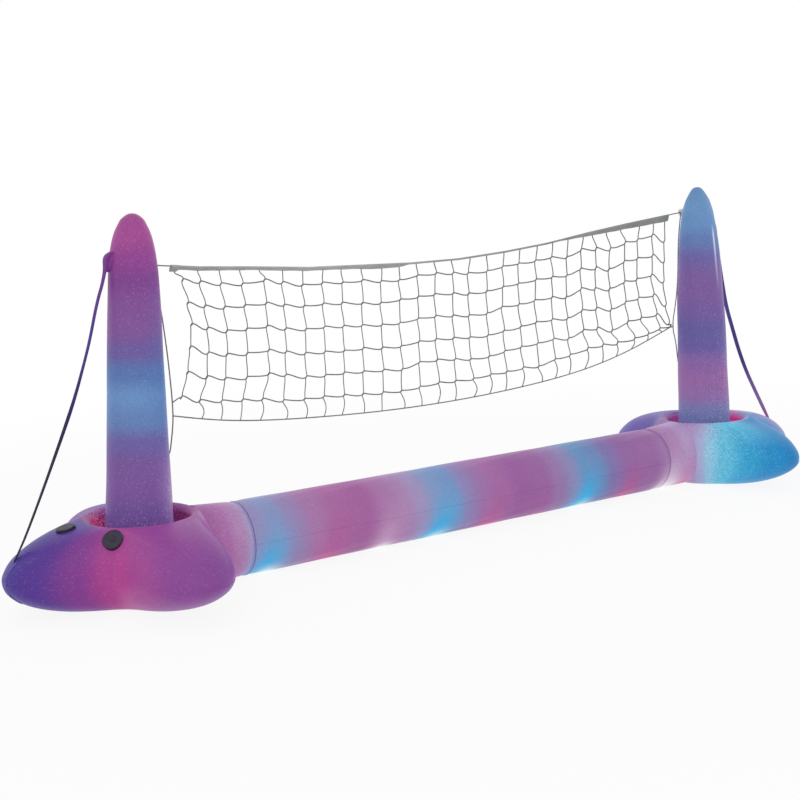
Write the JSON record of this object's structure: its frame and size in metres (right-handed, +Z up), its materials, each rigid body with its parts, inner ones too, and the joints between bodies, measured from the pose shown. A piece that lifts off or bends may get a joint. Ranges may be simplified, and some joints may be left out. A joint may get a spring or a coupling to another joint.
{
  "type": "volleyball net",
  "caption": "Inflatable pool volleyball net: a float tube between two lobed feet, air posts in the feet, a sagging net between them, and coloured lights inside.",
  "frame": {"origin": "on the floor or water line below the middle of the float tube", "axes": "+X along the tube to the right foot, +Y to the back, +Z up"},
  "size_m": [2.4312, 0.672, 0.856],
  "materials": {
    "film": "glossy translucent vinyl film with fine glitter, lit from inside",
    "well_film": "glossy magenta-tinted glitter vinyl",
    "weld": "dark weld band",
    "strap": "plain vinyl band",
    "net_cord": "knotted white cord",
    "webbing": "folded grey-white webbing",
    "pod_plastic": "black moulded plastic",
    "button_plastic": "black soft button",
    "seal": "silicone ring",
    "board": "green circuit board",
    "cell_steel": "coin cell cans",
    "contact": "sprung contact ring",
    "lead": "clear-jacketed lead",
    "lamp": "clear lamp block",
    "clear_valve": "clear soft vinyl valve",
    "grommet": "pressed eyelet"
  },
  "bodies": {
    "float": {"centre_tube_top_panel": "film", "centre_tube_base_panel": "film", "left_weld_ring": "weld", "left_foot_top_panel": "film", "left_foot_base_panel": "film", "left_post_skin": "film", "left_post_base_disc": "film", "left_strap_top_patch": "film", "left_strap_foot_patch": "film", "left_net_tabs": "film", "left_foot_well_panel": "well_film", "left_guy_strap": "strap", "left_side_cord": "net_cord", "left_net_grommets": "grommet", "left_splice_block": "pod_plastic", "left_post_bushing": "pod_plastic", "left_post_light_cable": "lead", "left_post_light_modules": "lamp", "left_post_valve_collar": "clear_valve", "right_weld_ring": "weld", "right_foot_top_panel": "film", "right_foot_base_panel": "film", "right_post_skin": "film", "right_post_base_disc": "film", "right_strap_top_patch": "film", "right_strap_foot_patch": "film", "right_net_tabs": "film", "right_foot_well_panel": "well_film", "right_guy_strap": "strap", "right_side_cord": "net_cord", "right_net_grommets": "grommet", "right_splice_block": "pod_plastic", "right_post_bushing": "pod_plastic", "right_post_light_cable": "lead", "right_post_light_modules": "lamp", "right_post_valve_collar": "clear_valve", "netting": "net_cord", "head_rope": "net_cord", "foot_rope": "net_cord", "net_head_band": "webbing", "light_pod_tub": "pod_plastic", "pod_cable_gland": "pod_plastic", "circuit_board": "board", "button_switch": "board", "coin_cells": "cell_steel", "cell_contact_clip": "contact", "pod_lead": "lead", "tube_light_cable": "lead", "tube_light_modules": "lamp", "base_valve_seat": "pod_plastic"},
    "pod_cap": {"light_pod_cap": "pod_plastic", "light_pod_seal": "seal"},
    "button": {"power_button": "button_plastic"},
    "main_valve_cap": {"base_valve_cap": "pod_plastic"},
    "main_valve_flap": {"base_valve_flap": "clear_valve"},
    "left_stem": {"left_post_valve_stem": "clear_valve"},
    "left_plug": {"left_post_valve_plug": "clear_valve"},
    "right_stem": {"right_post_valve_stem": "clear_valve"},
    "right_plug": {"right_post_valve_plug": "clear_valve"}
  },
  "joints": [
    {"name": "pod_cap_turn", "type": "hinge", "parent": "float", "child": "pod_cap", "pos_m": [-1.01278, -0.11291, 0.166], "axis": [-0.5072, -0.5423, 0.6698], "range_deg": [0, 90]},
    {"name": "power_button_press", "type": "slide", "parent": "pod_cap", "child": "button", "axis": [0.5072, 0.5423, -0.6698], "range_m": [0, 0.0012], "stiffness_N_per_m": 500, "springref_m": -0.001},
    {"name": "main_valve_cap_lift", "type": "hinge", "parent": "float", "child": "main_valve_cap", "pos_m": [-1.07251, 0.0215, 0.18214], "axis": [-0.9814, 0, -0.1921], "range_deg": [0, 110]},
    {"name": "main_valve_flap_swing", "type": "hinge", "parent": "float", "child": "main_valve_flap", "pos_m": [-1.06821, 0.0128, 0.16018], "axis": [0.9814, 0, 0.1921], "range_deg": [0, 40], "stiffness_Nm_per_rad": 0.002, "springref_deg": -17.19},
    {"name": "left_valve_pull", "type": "slide", "parent": "float", "child": "left_stem", "axis": [0, 1, 0], "range_m": [0, 0.01]},
    {"name": "left_plug_lift", "type": "hinge", "parent": "left_stem", "child": "left_plug", "pos_m": [-0.89547, 0.07615, 0.2405], "axis": [1, 0, 0], "range_deg": [0, 110]},
    {"name": "right_valve_pull", "type": "slide", "parent": "float", "child": "right_stem", "axis": [0, 1, 0], "range_m": [0, 0.01]},
    {"name": "right_plug_lift", "type": "hinge", "parent": "right_stem", "child": "right_plug", "pos_m": [0.89547, 0.07624, 0.2405], "axis": [1, 0, 0], "range_deg": [0, 110]}
  ]
}
